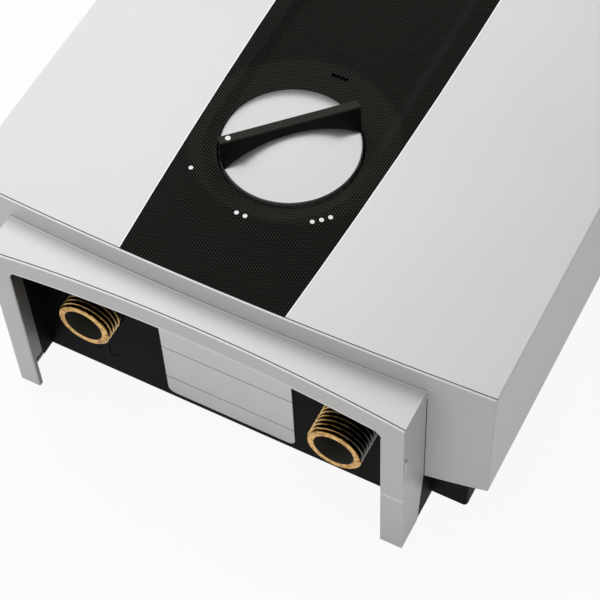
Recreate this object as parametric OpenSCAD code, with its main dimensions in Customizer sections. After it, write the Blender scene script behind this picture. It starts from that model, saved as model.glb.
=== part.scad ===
// Tankless electric water heater, lying on its back.
// Z is the distance from the wall, X runs across, and the pipe end faces -Y.
// The origin is the middle of the back, and sizes are in millimetres.

/* [Case] */
// Width of the case
case_w = 204; // [190:1:230]
// Length of the case along its side walls
case_l = 330; // [320:1:380]
// Depth of the case at its side walls
case_d = 87; // [84:1:100]
// Rise of the front face at its middle
crown = 14; // [10:0.5:18]
// Bow of each end face at its middle
end_bow = 10.5; // [8:0.5:13]
// Height of the cover's lower rim above the wall
rim_z = 26; // [20:1:30]
// Thickness of the cover's side walls
cover_wall = 2.5; // [2:0.1:3]
// Thickness of the cover's front
front_t = 5; // [4.5:0.1:6]

/* [Centre strip] */
// Half width of the strip at its ends
strip_end_hw = 30.6; // [29:0.1:33]
// Half width of the strip at mid length
strip_mid_hw = 36.5; // [35:0.1:40]
// Thickness of the strip's edge
strip_t = 3; // [2.5:0.1:3.5]
// Thickness of the strip's middle
strip_body_t = 6; // [5.6:0.1:7]
// Half width of the window that the strip's middle fills
window_hw = 27.5; // [26.5:0.1:28]
// Distance from each end of the case to the window
window_end = 10; // [6:1:16]
// Silver lip left at each end of the strip
strip_lip = 0.8; // [0.5:0.1:2]
// Radius of the dish round the knob, at the front face
dish_r = 32.6; // [31:0.1:36]
// Depth of the dish and of the trough above it
dish_depth = 2.6; // [2:0.1:2.8]

/* [Knob] */
// Distance of the knob from the corner line of the pipe end
knob_y = 54; // [50:1:60]
// Radius of the knob
knob_r = 24.7; // [23:0.1:25.5]
// Drop of the knob's rim below the front face
knob_drop = 1; // [0.6:0.1:2.2]
// Rise of the knob's domed face
knob_dome = 8.3; // [5:0.1:9]
// Depth of the knob's skirt below its rim
knob_skirt = 5; // [3:0.5:6]
// Height of the grip bar above the knob's rim
bar_h = 12.4; // [11.5:0.1:17]
// Width of the grip bar at its top
bar_top_w = 3.2; // [3:0.1:6]
// Width of the grip bar at the knob's rim
bar_base_w = 5.8; // [5:0.1:10]
// Depth of the finger scoop in each side of the grip bar
bar_scoop = 0.6; // [0.4:0.1:1.8]
// Half length of the finger scoops
bar_scoop_l = 18; // [15:0.5:20]
// Radius of the white dot on the grip bar
bar_dot_r = 0.95; // [0.8:0.05:1.4]
// Radius of the circle of setting marks
mark_r = 35.2; // [35:0.1:36.5]
// How far the circle of the setting dots lies above the middle of the knob
mark_up = 1.25; // [0:0.05:1.5]
// How far the circle of the setting dots lies left of the middle of the knob
mark_left = 0.9; // [0:0.05:1.5]
// Radius of one setting dot
mark_dot_r = 0.8; // [0.6:0.05:1.2]
// Spacing of the setting dots within a group
mark_pitch = 3.2; // [2.8:0.1:3.6]
// Length of the off mark
off_mark_l = 6.6; // [5:0.1:8]
// Width of the off mark
off_mark_w = 1.5; // [1:0.1:2]

/* [Pipe shroud] */
// Width over the legs
shroud_w = 159.2; // [150:0.2:166]
// Width of one leg
leg_w = 8.4; // [8:0.1:11]
// Reach of the shroud past the case's corner line
shroud_reach = 21.2; // [19:0.2:26]
// Height of the shroud's sides
shroud_h = 83; // [80:0.5:84]
// Rise of the shroud's top at its middle
shroud_arch = 8; // [6:0.5:9]
// Height of the band across its front
band_h = 9.5; // [9:0.1:11]
// Wall of the shroud
shroud_wall = 2; // [1.6:0.1:2.2]
// Radius in the opening's upper corners
band_r = 4; // [2:0.5:6]
// Height of the break line across each leg
break_z = 35; // [30:1:50]
// How far back the inner faces of the legs run
leg_return = 6; // [4:0.1:9]
// Height at which the inner faces of the legs end
leg_return_z = 16.5; // [12:0.5:24]
// Thickness of the black cheeks inside the legs
cheek_t = 2; // [1.6:0.1:2.2]
// Height at which the black cheeks begin
cheek_z = 6; // [0:0.5:12]

/* [Back plate] */
// Thickness of the floor
floor_t = 3; // [2.5:0.1:4]
// Inset of the tray from the cover's sides
tray_inset = 9; // [8:0.5:11]
// Distance of the tray from the corner line at each end
tray_end = 4.5; // [3:0.5:6]
// Corner radius of the tray
tray_r = 1.5; // [1:0.5:9]
// Wall of the tray
tray_wall = 2.5; // [2:0.1:3]
// Height of the cover ledge above the cover's rim
ledge_up = 2; // [2:0.1:4]
// Thickness of the cover ledge
ledge_t = 2.5; // [2:0.1:3.5]
// Depth of the connection panel's face behind the corner line
panel_out = 2.2; // [2:0.1:3]
// Thickness of the connection panel
panel_t = 3; // [2.5:0.1:3.5]
// Spacing of the wall holes across
wall_x = 140; // [130:1:150]
// Spacing of the wall holes along
wall_y = 280; // [260:1:285]
// Radius of a wall hole
wall_hole_r = 3; // [2.5:0.1:4]

/* [Pipe connections] */
// Spacing of the two nipples
nipple_x = 103; // [100:0.5:110]
// Height of the nipple axes above the wall
nipple_z = 42.5; // [38:0.5:46]
// Radius over the thread (G 1/2)
thread_r = 10.4775; // [10.4:0.0005:10.6]
// Pitch of the thread (14 to the inch)
thread_pitch = 1.814; // [1.6:0.001:2]
// Depth of the thread
thread_depth = 1.16; // [0.8:0.01:1.2]
// Threads on the cold nipple outside the panel
cold_turns = 8; // [5:1:10]
// Threads on the hot nipple outside the panel
hot_turns = 5; // [4:1:8]
// Radius of the nipple's outer bore
nipple_bore_r = 7.7; // [7:0.1:8.2]
// Depth of the nipple's outer bore
nipple_bore_d = 14; // [12:0.5:16]
// Chamfer at the end of the nipples
nipple_edge = 0.5; // [0.3:0.1:1]
// Radius of the waterway
water_r = 6; // [5.5:0.1:6.2]
// Radius of a copper pipe
pipe_r = 7.5; // [7.2:0.1:8]
// Width of the rating label's plate
label_w = 53; // [46:1:60]
// Height of the rating label's plate
label_h = 48; // [40:1:60]
// Height of the label's lower edge above the wall
label_z = 3.4; // [2:0.1:6]

/* [Heating vessel] */
// Radius of the vessel
vessel_r = 32; // [30:0.5:35]
// Length of the vessel
vessel_l = 140; // [125:1:170]
// Distance of the vessel from the corner line
vessel_y = 112; // [110:1:116]
// Height of the vessel's axis
vessel_z = 42; // [40:0.5:46]
// Wall of the vessel
vessel_wall = 2; // [1.5:0.1:3]
// Thickness of the element flange
flange_t = 6; // [5:0.5:7]
// Radius of one heating rod
rod_r = 3.2; // [2.5:0.1:4]
// Bend radius of a heating rod
rod_bend = 8; // [7:0.1:9]
// Distance of the rods' bends from the vessel's near end
rod_start = 30; // [24:1:40]
// Distance of the cold pipe's bend from the vessel's near end
cold_bend_in = 12; // [10:1:16]
// Distance of the hot pipe's bend from the vessel's far end
hot_bend_in = 40; // [36:1:44]
// Distance of the first strap from the vessel's near end
strap_near = 46; // [44:1:50]
// Distance of the second strap from the vessel's far end
strap_far = 40; // [38:1:44]

/* [Selector] */
// Side of the switch body
switch_w = 40; // [36:1:42]
// Height of the switch body
switch_h = 18; // [15:0.5:20]
// Height of the bracket's underside
bracket_z = 52; // [48:0.5:58]
// Thickness of the bracket
bracket_t = 2; // [1.5:0.1:2.5]
// Height of the bushing above the body
bushing_h = 8; // [6:0.5:9]
// Radius of the spindle
spindle_r = 3; // [2.5:0.1:3.5]

/* [Flow switch] */
// Radius of the flow switch
flow_r = 20; // [19:0.5:21]
// Distance of the flow switch from the corner line
flow_y = 49; // [46:1:52]
// Height of its body
flow_h = 26; // [24:0.5:28]
// Height of its cap
flow_cap_h = 8.5; // [7.5:0.1:10]
// Radius of the plunger's stem
plunger_r = 3; // [2.5:0.1:3.5]
// Travel of the plunger
plunger_travel = 1.2; // [0.8:0.1:1.5]
// Radius of the small switch's button
button_r = 1.5; // [1.2:0.1:1.8]

/* [Safety and supply] */
// Distance of the thermal cut-out from the vessel's near end
cutout_y = 68; // [62:1:74]
// Radius of the reset button
reset_r = 2.5; // [2:0.1:3]
// Travel of the reset button
reset_travel = 1.5; // [1:0.1:2]
// Distance of the terminal block from the corner line
terminal_y = 165; // [150:1:190]
// Poles of the terminal block
terminal_n = 4; // [3:1:5]
// Pitch of the terminals
terminal_pitch = 16; // [14:0.5:18]
// Radius of the cable hole
cable_r = 9; // [7:0.5:10]
// Radius of an inner lead
lead_r = 1.75; // [1.25:0.05:2]

/* [Fits] */
// Gap between fitted fixed pieces
fit = 0.2; // [0.1:0.05:0.3]
// Radial running clearance of shafts and plungers
run = 0.05; // [0.02:0.01:0.09]
// Gap round the knob
knob_gap = 0.8; // [0.4:0.05:1]

/* [Hidden] */
$fn = 72;
arc_fn = 720;
eps = 0.01;
case_hw = case_w / 2;
top_z = case_d + crown;
y0 = -(case_l + end_bow - shroud_reach) / 2;
front_r = (case_hw * case_hw + crown * crown) / (2 * crown);
front_cz = top_z - front_r;
end_r = (case_hw * case_hw + end_bow * end_bow) / (2 * end_bow);
end_cy = end_r - end_bow;
strip_hl = case_l / 2 + end_bow;
strip_sag = strip_mid_hw - strip_end_hw;
strip_r = (strip_hl * strip_hl + strip_sag * strip_sag) / (2 * strip_sag);
rim_knob_z = top_z - knob_drop;
dome_r = (knob_r * knob_r + knob_dome * knob_dome) / (2 * knob_dome);
dome_cz = rim_knob_z + knob_dome - dome_r;
hub_r = 7;
hub_drop = 4;
bar_angle = -135;
bar_peg_r = 1.5;
bar_peg_x = 12;
bar_dot_x = knob_r - 3.2;
scoop_r = (bar_scoop_l * bar_scoop_l + bar_scoop * bar_scoop) / (2 * bar_scoop);
inlay = 0.5;
shroud_hw = shroud_w / 2;
leg_in = shroud_hw - leg_w;
shroud_r = (shroud_hw * shroud_hw + shroud_arch * shroud_arch) / (2 * shroud_arch);
shroud_cz = shroud_h + shroud_arch - shroud_r;
leg_back_low = 8.3;
leg_back_top = rim_z;
leg_back_up = end_bow - end_drop(shroud_hw) + 0.4;
corner_z = shroud_cz + sqrt(pow(shroud_r - band_h, 2) - pow(leg_in - band_r, 2)) - band_r;
cheek_x = shroud_hw - shroud_wall - fit - cheek_t;
bay_hw = shroud_hw + fit;
tray_in_r = max(tray_r - tray_wall, 0.5);
ledge_z = rim_z + ledge_up;
tray_hw = case_hw - tray_inset;
tray_top = ledge_z + ledge_t;
panel_y = -panel_out;
panel_in = panel_y + panel_t;
screw_x = tray_hw + tray_inset / 2 - cover_wall / 2;
screw_y = 40;
screw_r = 1.5;
nip = nipple_x / 2;
nipple_flange_r = 15;
shank_r = thread_r - 0.4;
nipple_flange_t = 4;
nipple_screw_r = 1.6;
nipple_screw_off = 12;
spigot_r = 9;
spigot_end = panel_in + nipple_flange_t + 10;
flow_in = flow_y - flow_r - 7;
flow_out = flow_y + flow_r + 7;
flow_z = nipple_z - flow_h / 2 - 2;
flow_top = flow_z + flow_h;
diaphragm_t = 1.5;
cap_z = flow_top + diaphragm_t;
cap_boss_h = 4;
cap_room = 4.5;
micro_post_h = 7.5;
micro_z = cap_z + flow_cap_h + micro_post_h;
micro_w = 28;
micro_t = 10;
micro_h = 11;
micro_post_x = 10;
button_low = 2;
button_in = 1.5;
plunger_top = micro_z - button_low - 0.5;
pipe_wall = 1;
pipe_depth = 7;
bend_r = nip - vessel_r;
cold_bend_y = vessel_y + cold_bend_in;
hot_bend_y = vessel_y + vessel_l - hot_bend_in;
vessel_end = vessel_y + vessel_l;
flange_r = vessel_r + 1;
rod_ring = 17;
rod_out = 8;
rod_low = vessel_y + rod_start;
strap_y = [vessel_y + strap_near, vessel_end - strap_far];
strap_t = 8;
strap_hw = 24;
cut_w = 34;
cut_l = 18;
cut_y = vessel_y + cutout_y;
cut_top = vessel_z + vessel_r + 7;
reset_up = 2.4;
term_x = -tray_hw + tray_wall + fit;
term_w = 24;
term_h = 20;
cable_x = term_x + cable_r + 5;
cable_y = terminal_y + terminal_n * terminal_pitch + 22;
lead_z = floor_t + 12;
lead_y = terminal_y + 1.5 * terminal_pitch;
lead_up_x = -(vessel_r + nip - pipe_r) / 2;
post_x = 22;
post_y = 20;
post_r = 4;

function front_z(x) = front_cz + sqrt(front_r * front_r - x * x);
function end_drop(x) = end_r - sqrt(end_r * end_r - x * x);
function polar(r, a) = [r * cos(a), knob_y + r * sin(a), 0];
function mark_at(n, k) = polar(mark_r, -180 + 45 * n + (k - (n - 1) / 2) * mark_pitch / mark_r * 180 / PI) + [-mark_left, mark_up, 0];

// Outline of the case in plan, drawn in by i
module plan(i = 0) {
  intersection() {
    translate([-case_hw + i, -end_bow])
      square([case_w - 2 * i, case_l + 2 * end_bow]);
    translate([0, end_cy])
      circle(end_r - i, $fn = arc_fn);
    translate([0, case_l - end_cy])
      circle(end_r - i, $fn = arc_fn);
  }
}

// Everything behind the crowned front face, drawn in by i
module front_solid(i = 0) {
  translate([0, case_l + 2 * end_bow, 0])
    rotate([90, 0, 0])
      linear_extrude(case_l + 4 * end_bow)
        intersection() {
          translate([-case_w, -1])
            square([2 * case_w, top_z + 2]);
          translate([0, front_cz])
            circle(front_r - i, $fn = arc_fn);
        }
}

module case_solid(i, front_i, z) {
  intersection() {
    translate([0, 0, z])
      linear_extrude(top_z)
        plan(i);
    front_solid(front_i);
  }
}

// Outline of the bowed strip in plan, drawn in by i
module strip_plan(i = 0) {
  intersection() {
    plan(strip_lip + i);
    translate([strip_mid_hw - strip_r, case_l / 2])
      circle(strip_r - i, $fn = 4 * arc_fn);
    translate([strip_r - strip_mid_hw, case_l / 2])
      circle(strip_r - i, $fn = 4 * arc_fn);
  }
}

module round_rect(x, ya, yb, r) {
  translate([-x + r, ya])
    square([2 * x - 2 * r, yb - ya]);
  translate([-x, ya + r])
    square([2 * x, yb - ya - 2 * r]);
  for (sx = [-1, 1], y = [ya + r, yb - r])
    translate([sx * (x - r), y])
      circle(r);
}

// Part of the shroud's outline, in X and Z, drawn in by i
module portal(hw, i, z = 0) {
  intersection() {
    translate([-hw, z])
      square([2 * hw, top_z]);
    translate([0, shroud_cz])
      circle(shroud_r - i, $fn = arc_fn);
  }
}

// The shroud's opening, with its two upper corners rounded
module portal_opening(grow = 0) {
  r = band_r - grow;
  hw = leg_in + grow;
  i = band_h - grow;
  cz = shroud_cz + sqrt(pow(shroud_r - i, 2) - pow(hw - r, 2));
  difference() {
    portal(hw, i, -1);
    for (s = [-1, 1])
      translate([s * (hw - r), cz - r])
        difference() {
          translate([s > 0 ? 0 : -r, 0])
            square([r, 2 * r]);
          circle(r);
        }
  }
}

module along_y(ya, yb) {
  translate([0, yb, 0])
    rotate([90, 0, 0])
      linear_extrude(yb - ya)
        children();
}

module y_cylinder(x, z, ya, yb, r) {
  translate([x, ya, z])
    rotate([-90, 0, 0])
      cylinder(h = yb - ya, r = r);
}

module lead(points) {
  for (k = [0 : len(points) - 2]) {
    d = points[k + 1] - points[k];
    if (norm(d) > eps)
      translate(points[k])
        rotate([0, acos(d.z / norm(d)), atan2(d.y, d.x)])
          cylinder(h = norm(d), r = lead_r);
  }
  for (k = [1 : len(points) - 2])
    translate(points[k])
      sphere(lead_r);
}

module dome(extra = 0) {
  translate([0, knob_y, dome_cz])
    sphere(dome_r + extra, $fn = 180);
}

// The black tray that goes on the wall, with the connection panel at its pipe end
module back_plate() {
  color("dimgray")
  translate([0, y0, 0])
  difference() {
    union() {
      difference() {
        linear_extrude(tray_top)
          round_rect(tray_hw, tray_end, case_l - tray_end, tray_r);
        translate([0, 0, floor_t])
          linear_extrude(tray_top)
            round_rect(tray_hw - tray_wall, tray_end + tray_wall, case_l - tray_end - tray_wall, tray_in_r);
        translate([-bay_hw + tray_wall, 0, floor_t])
          cube([2 * (bay_hw - tray_wall), tray_end + tray_wall + 1, tray_top]);
      }
      translate([0, 0, ledge_z])
        linear_extrude(ledge_t)
          difference() {
            plan(cover_wall + fit);
            round_rect(tray_hw - tray_wall, tray_end + tray_wall, case_l - tray_end - tray_wall, tray_in_r);
            translate([-bay_hw, -2 * end_bow])
              square([2 * bay_hw, 2 * end_bow + tray_end + tray_wall + eps]);
          }
      along_y(panel_y, panel_in)
        portal(shroud_hw - fit, shroud_wall + 4);
      translate([-shroud_hw + fit, panel_y, 0])
        cube([shroud_w - 2 * fit, tray_end + tray_wall - panel_y, floor_t]);
      for (s = [-1, 1])
        translate([s > 0 ? shroud_hw - fit - tray_wall : -shroud_hw + fit, panel_y, 0])
          cube([tray_wall, tray_end + tray_wall - panel_y, tray_top]);
      for (s = [-1, 1])
        translate([s > 0 ? cheek_x + cheek_t - eps : -shroud_hw + fit, 0, 0])
          rotate([90, 0, 90])
            linear_extrude(shroud_wall + eps)
              polygon([[panel_y + 1, 0], [fit - leg_back_low, 0],
                [fit - leg_back_up, leg_back_top - fit], [panel_y + 1, leg_back_top - fit]]);
      for (s = [-1, 1])
        translate([s > 0 ? cheek_x : -cheek_x - cheek_t, leg_return + fit - shroud_reach, cheek_z])
          cube([cheek_t, shroud_reach - leg_return - fit + panel_y + 1, corner_z - 1 - cheek_z]);
      for (sx = [-1, 1], sy = [-1, 1])
        translate([sx * post_x, knob_y + sy * post_y, floor_t - eps])
          cylinder(h = bracket_z - floor_t + eps, r = post_r);
      for (y = strap_y)
        difference() {
          translate([-strap_hw, y - strap_t / 2, floor_t - eps])
            cube([2 * strap_hw, strap_t, vessel_z - vessel_r + 8]);
          y_cylinder(0, vessel_z, y - strap_t, y + strap_t, vessel_r + fit / 2);
        }
      translate([nip - 8, flow_y - 8, floor_t - eps])
        cube([16, 16, flow_z - floor_t + eps]);
    }
    for (sx = [-1, 1], sy = [-1, 1])
      translate([sx * wall_x / 2, case_l / 2 + sy * wall_y / 2, -1])
        cylinder(h = floor_t + 2, r = wall_hole_r);
    translate([cable_x, cable_y, -1])
      cylinder(h = floor_t + 2, r = cable_r + 2);
    for (sx = [-1, 1], sy = [-1, 1])
      translate([sx * post_x, knob_y + sy * post_y, bracket_z - 10])
        cylinder(h = 11, r = screw_r);
    for (s = [-1, 1], t = [-1, 1])
      y_cylinder(s * nip + t * nipple_screw_off, nipple_z, panel_y + 0.8, panel_in + 1, nipple_screw_r);
    for (s = [-1, 1])
      y_cylinder(s * nip, nipple_z, panel_y - 1, panel_in + 1, thread_r + fit);
    for (s = [-1, 1], y = [screw_y, case_l - screw_y])
      translate([s * screw_x, y, ledge_z - 1])
        cylinder(h = ledge_t + 2, r = screw_r + fit / 2);
    translate([-nip - 4, panel_y - eps, nipple_z - 30.5])
      cube([2.2, 0.3, 0.7]);
    translate([-nip + 1.5, panel_y - eps, nipple_z - 31])
      cube([0.6, 0.3, 7]);
    translate([-nip + 1.5, panel_y - eps, nipple_z - 31])
      cube([3.6, 0.3, 0.6]);
  }
}

// The silver shell: crowned front, bowed ends, straight sides
module front_cover() {
  color("silver")
  translate([0, y0, 0]) {
    difference() {
      case_solid(0, 0, rim_z);
      case_solid(cover_wall, front_t, rim_z - 1);
      difference() {
        translate([0, 0, case_d - front_t])
          linear_extrude(top_z)
            strip_plan(-fit);
        front_solid(strip_t);
      }
      translate([-window_hw, window_end, case_d - 2 * front_t])
        cube([2 * window_hw, case_l - 2 * window_end, top_z]);
      along_y(-2 * end_bow, tray_end)
        portal(bay_hw, shroud_wall + 3);
    }
    for (s = [-1, 1], y = [screw_y, case_l - screw_y])
      difference() {
        union() {
          translate([s * screw_x, y, tray_top])
            cylinder(h = 12, r = 3);
          translate([s > 0 ? screw_x : -case_hw + cover_wall / 2, y - 1.5, tray_top])
            cube([case_hw - cover_wall / 2 - screw_x, 3, 12]);
        }
        translate([s * screw_x, y, tray_top - 1])
          cylinder(h = 11, r = screw_r);
      }
  }
}

// The black strip down the front, with the dish for the knob and the trough above it
module centre_strip() {
  color("#2b2a29")
  translate([0, y0, 0])
  difference() {
    intersection() {
      union() {
        difference() {
          translate([0, 0, case_d - front_t])
            linear_extrude(top_z)
              strip_plan();
          front_solid(strip_t);
        }
        difference() {
          translate([-window_hw + fit, window_end + fit, case_d - 2 * front_t])
            cube([2 * (window_hw - fit), case_l - 2 * (window_end + fit), top_z]);
          front_solid(strip_body_t);
        }
      }
      front_solid();
    }
    translate([0, knob_y, case_d - 2 * front_t])
      cylinder(h = top_z, r = knob_r + knob_gap);
    translate([0, knob_y, top_z - dish_depth])
      cylinder(h = dish_depth + eps, r1 = knob_r + 2 * knob_gap, r2 = dish_r);
    along_y(knob_y, case_l + 2 * end_bow)
      polygon([[-knob_r - 2 * knob_gap, top_z - dish_depth], [knob_r + 2 * knob_gap, top_z - dish_depth],
        [dish_r, top_z + eps], [-dish_r, top_z + eps]]);
    translate([mark_left - off_mark_l / 2, knob_y + mark_r - off_mark_w / 2, top_z - dish_depth - inlay])
      cube([off_mark_l, off_mark_w, 2 * inlay]);
    marks(fit / 4);
  }
}

// Places of the setting dots, one, two and three of them
module marks(grow) {
  for (n = [1 : 3], k = [0 : n - 1])
    translate(mark_at(n, k))
      difference() {
        translate([0, 0, case_d])
          cylinder(h = crown + 1, r = mark_dot_r + grow);
        translate(-mark_at(n, k))
          front_solid(inlay);
      }
}

module setting_dots() {
  color("white")
  translate([0, y0, 0])
  intersection() {
    marks(0);
    front_solid(-0.06);
  }
}

// The silver frame over the pipe connections, open behind
module pipe_shroud() {
  color("silver")
  translate([0, y0, 0])
  difference() {
    union() {
      along_y(-shroud_reach, 0)
        portal(shroud_hw, 0);
      for (s = [-1, 1])
        translate([s > 0 ? shroud_hw - eps : -shroud_hw - 0.8 + eps, -shroud_reach + 0.6, break_z + 20])
          cube([0.8, 1.6, 7]);
    }
    along_y(-shroud_reach - 1, 1)
      portal_opening();
    along_y(shroud_wall - shroud_reach, 1)
      difference() {
        portal(shroud_hw - shroud_wall, shroud_wall, shroud_wall);
        portal_opening(shroud_wall);
      }
    translate([0, 0, -1])
      linear_extrude(2 * top_z)
        translate([0, end_cy])
          circle(end_r + fit / 2, $fn = arc_fn);
    translate([-case_hw, 0, 0])
      rotate([90, 0, 90])
        linear_extrude(case_w)
          polygon([[-leg_back_low, -1], [-leg_back_up, leg_back_top], [2, leg_back_top], [2, -1]]);
    translate([0, -shroud_reach - eps, break_z])
      cube([case_w, 0.4, 0.6]);
    for (s = [-1, 1])
      translate([s > 0 ? leg_in - eps : -leg_in - shroud_wall - eps, leg_return - shroud_reach, -1])
        cube([shroud_wall + 2 * eps, shroud_reach, corner_z + 0.5]);
    for (s = [-1, 1])
      translate([s > 0 ? leg_in - eps : shroud_wall - shroud_hw, shroud_wall - shroud_reach, -1])
        cube([leg_w - shroud_wall + eps, shroud_reach, leg_return_z + 1]);
  }
}

// The silver face of the knob
module knob_disc() {
  color("gainsboro")
  translate([0, y0, 0])
  difference() {
    union() {
      difference() {
        intersection() {
          translate([0, knob_y, rim_knob_z - knob_skirt])
            cylinder(h = knob_skirt + knob_dome + 1, r = knob_r, $fn = 180);
          dome();
        }
        translate([0, knob_y, rim_knob_z - knob_skirt - 1])
          cylinder(h = knob_skirt + 0.5, r = knob_r - 2.2);
      }
      translate([0, knob_y, rim_knob_z - knob_skirt - hub_drop])
        cylinder(h = knob_skirt + hub_drop, r = hub_r);
    }
    translate([0, knob_y, rim_knob_z - knob_skirt - hub_drop - 1])
      cylinder(h = knob_skirt + hub_drop + 2, r = spindle_r + run / 2);
    for (t = [-1, 1])
      translate(polar(t * bar_peg_x, bar_angle) + [0, 0, rim_knob_z + 1])
        cylinder(h = knob_dome, r = bar_peg_r + run);
  }
}

// The black grip bar, narrower at its top and scooped at its sides, seated on the dome by two pegs
module knob_bar() {
  color("#1c1c1c")
  translate([0, y0, 0])
  difference() {
    union() {
      difference() {
        intersection() {
          translate([0, knob_y, rim_knob_z])
            cylinder(h = bar_h + 1, r = knob_r, $fn = 180);
          translate([0, knob_y, rim_knob_z])
            rotate([0, 0, bar_angle])
              rotate([90, 0, 90])
                translate([0, 0, -knob_r - 1])
                  linear_extrude(2 * knob_r + 2)
                    polygon([[-bar_base_w / 2, 0], [bar_base_w / 2, 0], [bar_top_w / 2, bar_h], [-bar_top_w / 2, bar_h]]);
        }
        dome(run / 2);
        for (s = [-1, 1])
          translate([0, knob_y, rim_knob_z - 1])
            rotate([0, 0, bar_angle])
              translate([0, s * (bar_base_w / 2 - bar_scoop + scoop_r), 0])
                cylinder(h = bar_h + 2, r = scoop_r, $fn = arc_fn);
      }
      for (t = [-1, 1])
        translate(polar(t * bar_peg_x, bar_angle) + [0, 0, rim_knob_z + 1.5])
          cylinder(h = bar_h / 2, r = bar_peg_r);
    }
    translate(polar(bar_dot_x, bar_angle) + [0, 0, rim_knob_z + bar_h - inlay])
      cylinder(h = inlay + 1, r = bar_dot_r + run);
  }
}

module knob_dot() {
  color("white")
  translate([0, y0, 0])
  translate(polar(bar_dot_x, bar_angle) + [0, 0, rim_knob_z + bar_h - inlay])
    cylinder(h = inlay + 0.1, r = bar_dot_r);
}

module selector_spindle() {
  color("#b8b8b8")
  translate([0, y0 + knob_y, 0]) {
    translate([0, 0, bracket_z + bracket_t + 3])
      cylinder(h = rim_knob_z - bracket_z - bracket_t - 3, r = spindle_r);
    translate([0, 0, bracket_z + bracket_t + 5 + run])
      cylinder(h = 4 - 2 * run, r = spindle_r + 2);
  }
}

// The rotary switch under the knob, with room for the spindle's collar
module selector_switch() {
  color("#3a3a3a")
  translate([0, y0 + knob_y, bracket_z + bracket_t])
  difference() {
    union() {
      translate([-switch_w / 2, -switch_w / 2, 0])
        cube([switch_w, switch_w, switch_h]);
      cylinder(h = switch_h + bushing_h, r = spindle_r + 3);
    }
    translate([0, 0, 2.5])
      cylinder(h = switch_h + bushing_h, r = spindle_r + run);
    translate([0, 0, 5])
      cylinder(h = 4, r = spindle_r + 2 + run);
  }
}

module switch_tabs() {
  color("goldenrod")
  translate([0, y0 + knob_y, bracket_z + bracket_t])
  for (s = [-1, 1], t = [-1 : 1])
    translate([s > 0 ? switch_w / 2 : -switch_w / 2 - 7, t * 10 - 3, switch_h - 5])
      cube([7, 6, 0.8]);
}

module switch_bracket() {
  color("lightgray")
  translate([0, y0 + knob_y, bracket_z])
  difference() {
    translate([-post_x - post_r - 1, -post_y - post_r - 1, 0])
      cube([2 * (post_x + post_r + 1), 2 * (post_y + post_r + 1), bracket_t]);
    for (sx = [-1, 1], sy = [-1, 1])
      translate([sx * post_x, sy * post_y, -1])
        cylinder(h = bracket_t + 2, r = screw_r + fit / 2);
  }
}

module bracket_screws() {
  color("silver")
  translate([0, y0 + knob_y, bracket_z])
  for (sx = [-1, 1], sy = [-1, 1])
    translate([sx * post_x, sy * post_y, 0]) {
      translate([0, 0, -8])
        cylinder(h = 8 + bracket_t + eps, r = screw_r - run);
      translate([0, 0, bracket_t])
        intersection() {
          cylinder(h = 1.6, r = 2.6);
          translate([sx > 0 ? switch_w / 2 + fit - post_x : -3, -3, -1])
            cube([sx > 0 ? 9 : 3 + post_x - switch_w / 2 - fit, 6, 4]);
        }
    }
}

// The bare plate that stands for the rating label
module label_plate() {
  color("lightgray")
  translate([1, y0, 0])
  along_y(panel_y - 0.4, panel_y)
    round_rect(label_w / 2, label_z, label_z + label_h, 3);
}

// A brass nipple: rings for the thread, a flange inside the panel and a spigot for the pipe
module nipple(x, turns, spigot) {
  tip = panel_y - turns * thread_pitch - 0.6;
  translate([x, 0, nipple_z])
  difference() {
    union() {
      translate([0, tip, 0])
        rotate([-90, 0, 0])
          rotate_extrude($fn = 96)
            polygon(concat([[0, 0], [thread_r - nipple_edge, 0], [thread_r, 0.6]],
              [for (k = [0 : turns - 1], p = [[0, 0.25], [thread_depth, 0.8], [thread_depth, 1.05], [0, 1.6]])
                [thread_r - p[0], 0.6 + k * thread_pitch + p[1] * thread_pitch / 1.814]],
              [[thread_r, panel_y - tip], [shank_r, panel_y - tip], [shank_r, panel_in - tip + 1], [0, panel_in - tip + 1]]));
      y_cylinder(0, 0, panel_in, panel_in + nipple_flange_t, nipple_flange_r);
      y_cylinder(0, 0, panel_in, spigot, spigot_r);
    }
    y_cylinder(0, 0, tip - 1, tip + nipple_bore_d, nipple_bore_r);
    y_cylinder(0, 0, tip, spigot + 1, water_r);
    for (t = [-1, 1])
      y_cylinder(t * nipple_screw_off, 0, panel_in - 1, panel_in + nipple_flange_t + 1, nipple_screw_r);
    children();
  }
}

module cold_nipple() {
  color("goldenrod")
  translate([0, y0, 0])
    nipple(nip, cold_turns, flow_in + 6);
}

module hot_nipple() {
  color("goldenrod")
  translate([0, y0, 0])
    nipple(-nip, hot_turns, spigot_end)
      y_cylinder(0, 0, spigot_end - pipe_depth, spigot_end + 1, pipe_r + run);
}

module nipple_screws() {
  color("silver")
  translate([0, y0, 0])
  for (s = [-1, 1], t = [-1, 1]) {
    y_cylinder(s * nip + t * nipple_screw_off, nipple_z, panel_y + 1, panel_in + nipple_flange_t + eps, nipple_screw_r - run);
    y_cylinder(s * nip + t * nipple_screw_off, nipple_z, panel_in + nipple_flange_t, panel_in + nipple_flange_t + 2, 2.6);
  }
}

// The sieve in the cold waterway
module inlet_filter() {
  seat = panel_y - cold_turns * thread_pitch - 0.6 + nipple_bore_d;
  color("silver")
  translate([nip, y0, nipple_z])
  difference() {
    union() {
      y_cylinder(0, 0, seat - 1, seat, nipple_bore_r - fit);
      y_cylinder(0, 0, seat - eps, seat + 9, water_r - fit);
    }
    y_cylinder(0, 0, seat - 2, seat + 8.4, water_r - 0.8);
  }
}

module inlet_ring() {
  color("#222222")
  translate([nip, y0 + flow_in + 3, nipple_z])
    rotate([-90, 0, 0])
      rotate_extrude()
        translate([spigot_r + 0.9, 0])
          circle(0.85, $fn = 24);
}

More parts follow.
